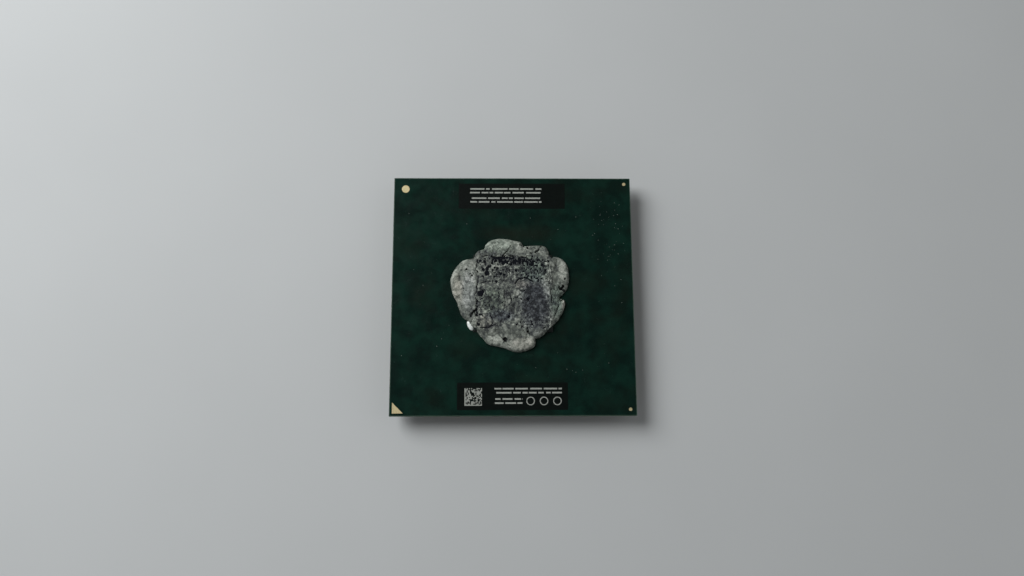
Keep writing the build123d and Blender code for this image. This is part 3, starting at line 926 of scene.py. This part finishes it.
# Colour: five steps of grey, then faint casts of green, blue and pink.
steps = [0.0, 0.22, 0.45, 0.70, 1.0]
greys = np.array([linear(c) for c in ("#1d2121", "#454948", "#5f645c", "#898e84", "#b6b9ae")])
tone = np.clip(tone, 0, 1)
colour = np.stack([np.interp(tone, steps, greys[:, channel]) for channel in range(3)], 1)
for centre, radii, cast in (
    ((3.2, -1.6), (2.0, 3.6), (0.97, 0.97, 1.13)),
    ((-1.7, -3.3), (1.8, 0.8), (0.95, 0.98, 1.14)),
    ((-3.0, -1.1), (1.5, 1.7), (0.98, 1.07, 0.98)),
    ((6.3, -1.2), (0.9, 2.2), (0.94, 1.07, 1.04)),
    ((2.9, 3.4), (1.8, 1.8), (0.92, 1.06, 1.02)),
    ((-2.4, 6.9), (2.6, 1.2), (0.98, 1.04, 1.01)),
    ((1.5, 1.3), (1.4, 0.7), (1.09, 0.99, 1.0)),
    ((-8.0, 0.6), (0.8, 2.0), (1.06, 1.0, 0.97)),
    ((1.4, -7.3), (1.8, 0.9), (1.05, 1.0, 0.99)),
    ((7.4, -1.6), (0.4, 1.0), (1.10, 0.99, 1.0)),
    ((-4.0, -4.2), (1.2, 1.0), (1.06, 1.0, 0.99)),
    ((-6.4, 0.2), (1.0, 3.0), (0.99, 0.99, 1.06)),
):
    cover = patch(x, y, centre, radii, 0, 0.5)[:, None]
    colour *= 1 + cover * (np.array(cast)[None] - 1)

place_mm = np.stack([x, y, board + height], 1)
faces = []
for ring in range(rings - 1):
    for side in range(rim_points):
        here, after = ring * rim_points + side, ring * rim_points + (side + 1) % rim_points
        faces.append((here, here + rim_points, after + rim_points, after))
top_middle = rings * rim_points
last_ring = (rings - 1) * rim_points
for side in range(rim_points):
    after = (side + 1) % rim_points
    faces.append((top_middle, side, after))
    faces.append((top_middle + 1, last_ring + after, last_ring + side))
points = np.concatenate([place_mm, [[*middle, board]]]) * MM
paste_mesh = bpy.data.meshes.new("dried_thermal_paste")
paste_mesh.from_pydata(points.tolist(), [], faces)
paste_mesh.update()
paint = paste_mesh.color_attributes.new("paste_colour", "FLOAT_COLOR", "POINT")
shades = np.ones((len(points), 4), np.float32)
shades[:len(colour), :3] = colour
shades[-1, :3] = greys[2, :3]
paint.data.foreach_set("color", shades.ravel())
paste_mesh.shade_smooth()
paste = new_piece("dried_thermal_paste", paste_mesh)

# Chalky dried paste: matt crust with grains, smoother where the film is thin.
paste_crust, tree, shader = start_material("dried_zinc_oxide_paste", IOR=1.45)
place = object_place(tree)
painted = add_node(tree, "ShaderNodeVertexColor", layer_name="paste_colour").outputs["Color"]
grain = blotches(tree, place, 0.16, (0.3, 0.7), (0.62, 1.38), 6.0)
shading = {"data_type": "RGBA", "blend_type": "MULTIPLY"}
grained = add_node(tree, "ShaderNodeMix", {0: 1.0, 6: painted, 7: grain}, **shading).outputs[2]
# Crackle: dark lines along the edges of wandering cells 0.75 mm across, laid on where the crust has
# dried out. They are painted shade of hairline cracks, with no relief of their own.
swirl = add_node(tree, "ShaderNodeTexNoise", {"Vector": place, "Scale": 900.0, "Detail": 3.0})
drift_scale = (0.6 * MM,) * 3
drift = add_node(
    tree, "ShaderNodeVectorMath", {0: swirl.outputs["Color"], 1: drift_scale}, operation="MULTIPLY"
)
strayed = add_node(
    tree, "ShaderNodeVectorMath", {0: place, 1: drift.outputs[0]}, operation="ADD"
)
crust_cells = add_node(
    tree,
    "ShaderNodeTexVoronoi",
    {"Vector": strayed.outputs[0], "Scale": 1 / (0.75 * MM)},
    feature="DISTANCE_TO_EDGE",
)
crack_edge = {"Value": crust_cells.outputs["Distance"], 1: 0.0, 2: 0.11, 3: 0.45, 4: 1.0}
crackle = add_node(tree, "ShaderNodeMapRange", crack_edge).outputs[0]
dried_out = blotches(tree, place, 1.9, (0.44, 0.60), detail=2.0)
crackled = add_node(tree, "ShaderNodeMix", {0: 1.0, 6: grained, 7: crackle}, **shading)
coat(tree, shader, dried_out, grained, crackled.outputs[2])
lightness = add_node(tree, "ShaderNodeRGBToBW", {0: painted}).outputs[0]
chalkiness = {"Value": lightness, 1: 0.03, 2: 0.22, 3: 0.42, 4: 0.78}
tree.links.new(
    add_node(tree, "ShaderNodeMapRange", chalkiness).outputs[0], shader.inputs["Roughness"]
)
fine_relief(tree, shader, place, 0.12, 0.035, 6.0)
paste_mesh.materials.append(paste_crust)
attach(paste, "root")
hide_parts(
    "paste_film", "paste_lobe_left", "paste_lobe_right", "paste_lobe_top", "paste_lobe_bottom",
)


# White bead: a drop of the same paste at the lower left corner of the lobes, squeezed out on its
# own and smooth enough to catch the light. Its near-white colour, far paler than the grey paste, is
# a painted highlight for the glint there.
bead_form = bmesh.new()
bmesh.ops.create_icosphere(bead_form, subdivisions=4, radius=1.0)
for point in bead_form.verts:
    dent = rough_field(np.array([point.co.x * 2]), np.array([point.co.y * 2 + point.co.z]), 1.0, 7)
    point.co *= 1 + 0.14 * float(dent[0])
    point.co = Vector((point.co.x * 0.78, point.co.y * 0.36, max(point.co.z, -0.2) * 0.36)) * MM
bead_form.transform(
    Matrix.Translation(Vector((-6.12, -4.66, board + 0.055)) * MM)
    @ Euler((0, 0, math.radians(-62))).to_matrix().to_4x4()
)
bead_piece = keep_form("white_paste_bead", bead_form)
bead_piece.data.shade_smooth()
# Near-white colour: a painted highlight for the glint on the bead.
paste_painted_white_for_glint = mottled(
    "paste_painted_white_for_glint", 0.2, "#e3e8e2", "#fbfffa", relief=(0.1, 0.01), Roughness=0.22, IOR=1.5
)
bead_piece.data.materials.append(paste_painted_white_for_glint)
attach(bead_piece, "root")


# Printed panels: two dark rectangles of laser-marking ink, one above and one
# below the die. The ink is thin, dull and slightly uneven where it was rolled.
panel_ink = mottled(
    "marking_panel_ink", 0.9, "#070b09", "#0e1512", (0.05, 0.003), (0.2, (0.34, 0.44)),
    Specular_IOR_Level=0.12,
)
finish_node("marking_panel_top", panel_ink)
finish_node("marking_panel_bottom", panel_ink)


# Marks on the panels: light lines that the laser burns into the ink. They are
# broken level rules, plain rings and a random chequer block, with no meaning.
etched_mark = mottled(
    "laser_etched_mark", 0.12, "#7d817a", "#b9bcb2", relief=(0.05, 0.004), Roughness=0.7
)
mark_rise_mm = 0.006


def add_bar(form, x_from, y_from, x_to, y_to, floor_z):
    """One flat bar between two corners in millimetres, a few microns high."""
    low, high = (min(x_from, x_to), min(y_from, y_to)), (max(x_from, x_to), max(y_from, y_to))
    levels = (floor_z / MM, floor_z / MM + mark_rise_mm)
    corners = [
        form.verts.new((px * MM, py * MM, pz * MM))
        for pz in levels
        for px, py in ((low[0], low[1]), (high[0], low[1]), (high[0], high[1]), (low[0], high[1]))
    ]
    sides = [(side, (side + 1) % 4, (side + 1) % 4 + 4, side + 4) for side in range(4)]
    for face in [(3, 2, 1, 0), (4, 5, 6, 7)] + sides:
        form.faces.new([corners[index] for index in face])


def add_dashed_rule(form, left, low, length, height, draw, floor_z):
    """Two level lines, one above the other, each broken at places of its own."""
    thick = height * 0.20
    for level in (0.14, 0.66):
        start = left + draw.uniform(0.0, 0.3)
        while start < left + length:
            end = min(start + draw.uniform(0.5, 2.4), left + length)
            add_bar(form, start, low + height * level, end, low + height * level + thick, floor_z)
            start = end + draw.uniform(0.15, 0.35)


def add_ring(form, centre, outer, inner, floor_z, sides=28):
    """One flat ring, a few microns high."""
    loops = []
    for radius, level in ((outer, 0), (outer, mark_rise_mm), (inner, mark_rise_mm), (inner, 0)):
        loops.append([
            form.verts.new((
                (centre[0] + radius * math.cos(2 * math.pi * side / sides)) * MM,
                (centre[1] + radius * math.sin(2 * math.pi * side / sides)) * MM,
                floor_z + level * MM,
            ))
            for side in range(sides)
        ])
    for loop in range(4):
        near, far = loops[loop], loops[(loop + 1) % 4]
        for side in range(sides):
            after = (side + 1) % sides
            form.faces.new((near[side], near[after], far[after], far[side]))


def finish_marks(form, name):
    piece = keep_form(name, form)
    piece.data.materials.append(etched_mark)
    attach(piece, "root")


random_mark = np.random.default_rng(29)
top_low, top_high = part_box("marking_panel_top")
bottom_low, bottom_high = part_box("marking_panel_bottom")
top_x, top_y = top_low.x / MM, top_low.y / MM
bottom_x, bottom_y = bottom_low.x / MM, bottom_low.y / MM
top_marks, bottom_marks = bmesh.new(), bmesh.new()
for form, floor_z, left, low, length in (
    (top_marks, top_high.z, top_x + 1.65, top_y + 2.20, 10.6),
    (top_marks, top_high.z, top_x + 1.65, top_y + 0.78, 10.6),
    (bottom_marks, bottom_high.z, bottom_x + 5.25, bottom_y + 2.15, 9.6),
    (bottom_marks, bottom_high.z, bottom_x + 5.25, bottom_y + 0.70, 4.0),
):
    add_dashed_rule(form, left, low, length, 1.1, random_mark, floor_z)
for ring_x in (10.4, 12.3, 14.2):
    add_ring(bottom_marks, (bottom_x + ring_x, bottom_y + 1.25), 0.60, 0.48, bottom_high.z)

module_mm = 0.155
filled_mm = module_mm * 0.94
modules = 16
chequer = random_mark.random((modules, modules)) < 0.5
chequer[0, :] = True
chequer[:, 0] = True
for column in range(modules):
    for line in range(modules):
        if chequer[line, column]:
            cell_x = bottom_x + 1.05 + column * module_mm
            cell_y = bottom_y + 0.60 + line * module_mm
            far_x, far_y = cell_x + filled_mm, cell_y + filled_mm
            add_bar(bottom_marks, cell_x, cell_y, far_x, far_y, bottom_high.z)
finish_marks(top_marks, "etched_marks_top")
finish_marks(bottom_marks, "etched_marks_bottom")


# Dust on the carrier: dry flakes of paste and lint that have settled on the
# mask, thickest towards the upper right corner.
lint = mottled("pale_lint", 0.2, "#5d665f", "#8f9890", Roughness=0.9)

flake_form = lathe("flake_form", [(0, 0), (0.8, 0.1), (1.0, 0.3), (0.7, 0.5), (0, 0.55)], 7)
dust_tree, given = start_tree("dust", [
    ("Form", "Object"),
    ("Clear Radius", "Float"),
    ("Density", "Float"),
    ("Smallest", "Float"),
    ("Largest", "Float"),
    ("Seed", "Int"),
    ("Material", "Material"),
])
scattered = add_node(
    dust_tree,
    "GeometryNodeDistributePointsOnFaces",
    {"Mesh": given["Geometry"], "Density": given["Density"], "Seed": given["Seed"]},
)
flake_place = add_node(dust_tree, "GeometryNodeInputPosition").outputs[0]
level_place = add_node(
    dust_tree, "ShaderNodeVectorMath", {0: flake_place, 1: (1, 1, 0)}, operation="MULTIPLY"
)
from_middle = add_node(
    dust_tree, "ShaderNodeVectorMath", {0: level_place.outputs[0]}, operation="LENGTH"
)
clear_of_paste = add_node(
    dust_tree,
    "FunctionNodeCompare",
    {0: from_middle.outputs["Value"], 1: given["Clear Radius"]},
    data_type="FLOAT",
    operation="GREATER_THAN",
)
flake_turn = add_node(
    dust_tree,
    "FunctionNodeRandomValue",
    {0: (0, 0, 0), 1: (0, 0, full_turn), "Seed": given["Seed"]},
    data_type="FLOAT_VECTOR",
)
flake_size = add_node(
    dust_tree,
    "FunctionNodeRandomValue",
    {2: given["Smallest"], 3: given["Largest"], "Seed": given["Seed"]},
    data_type="FLOAT",
)
plant(dust_tree, given, {
    "Points": scattered.outputs[0],
    "Selection": clear_of_paste.outputs[0],
    "Rotation": flake_turn.outputs[0],
    "Scale": flake_size.outputs[1],
})


def level_sheet(name, low, high, level):
    """A flat level rectangle between two corners in millimetres."""
    mesh = bpy.data.meshes.new(name)
    corners = [(low[0], low[1]), (high[0], low[1]), (high[0], high[1]), (low[0], high[1])]
    mesh.from_pydata([(px * MM, py * MM, level) for px, py in corners], [], [(0, 1, 2, 3)])
    return mesh


dust_falls = []
for name, low, high, per_square_mm, largest, seed in (
    ("dust_all_over", (-16.8, -12.4), (16.8, 12.4), 0.07, 0.055, 4),
    ("dust_upper_right", (11.5, 5.0), (16.6, 14.0), 0.9, 0.05, 9),
):
    dust_falls.append(grow(
        name,
        dust_tree,
        {
            "Form": flake_form,
            "Clear Radius": 9.4 * MM,
            "Density": per_square_mm / MM ** 2,
            "Smallest": 0.012,
            "Largest": largest,
            "Seed": seed,
            "Material": lint,
        },
        level_sheet(name, low, high, mask_high.z),
    ))
dust = join(dust_falls, "dust_flakes")
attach(dust, "root")
bpy.data.objects.remove(flake_form)


# Table: a plain pale laminate top, satin, that the processor stands on.
table_top = mottled("pale_table_laminate", 30.0, "#c6c8c7", "#cdcfce", Roughness=0.7)
half_table_mm = 1500
table_mesh = level_sheet(
    "table_top", (-half_table_mm, -half_table_mm), (half_table_mm, half_table_mm), cad_low.z
)
table_mesh.materials.append(table_top)
new_piece("table_top", table_mesh)


# Light: a soft lamp near by at the upper left, a weak one on the right, and a
# dim room that is darkest overhead, so that the glossy mask stays dark.
def add_lamp(name, place, size, watts, colour):
    lamp = bpy.data.lights.new(name, "AREA")
    lamp.shape = "DISK"
    lamp.size = size
    lamp.energy = watts
    lamp.color = linear(colour)[:3]
    holder = new_piece(name, lamp)
    holder.location = place
    holder.rotation_euler = (-Vector(place)).to_track_quat("-Z", "Y").to_euler()


add_lamp("key_lamp", (-0.22, 0.145, 0.235), 0.25, 1.08, "#fbfdff")
add_lamp("fill_lamp", (0.50, 0.10, 0.42), 0.60, 0.30, "#fbf8f2")
room = bpy.data.worlds.new("studio")
room.use_nodes = True
tree = room.node_tree
look = add_node(tree, "ShaderNodeTexCoord").outputs["Generated"]
height_of_look = add_node(tree, "ShaderNodeSeparateXYZ", {0: look}).outputs["Z"]
fall_off = {"Value": height_of_look, 1: 0.1, 2: 0.8, 3: 0.62, 4: 0.04}
room_light = add_node(tree, "ShaderNodeMapRange", fall_off).outputs[0]
tree.nodes["Background"].inputs["Color"].default_value = linear("#e9edf2")
tree.links.new(room_light, tree.nodes["Background"].inputs["Strength"])
bpy.context.scene.world = room
bpy.context.scene.view_settings.view_transform = "Standard"


# Camera: hand-held over the table, a little to the near side, looking almost
# straight down.
lens = bpy.data.cameras.new("camera")
lens.lens = 29.1
lens.sensor_width = 36.0
lens.clip_start = 0.002
camera = new_piece("camera", lens)
camera.location = Vector((-2.54, -21.95, 121.05)) * MM
camera.rotation_euler = (0.1913, -0.0198, -0.0039)
bpy.context.scene.camera = camera
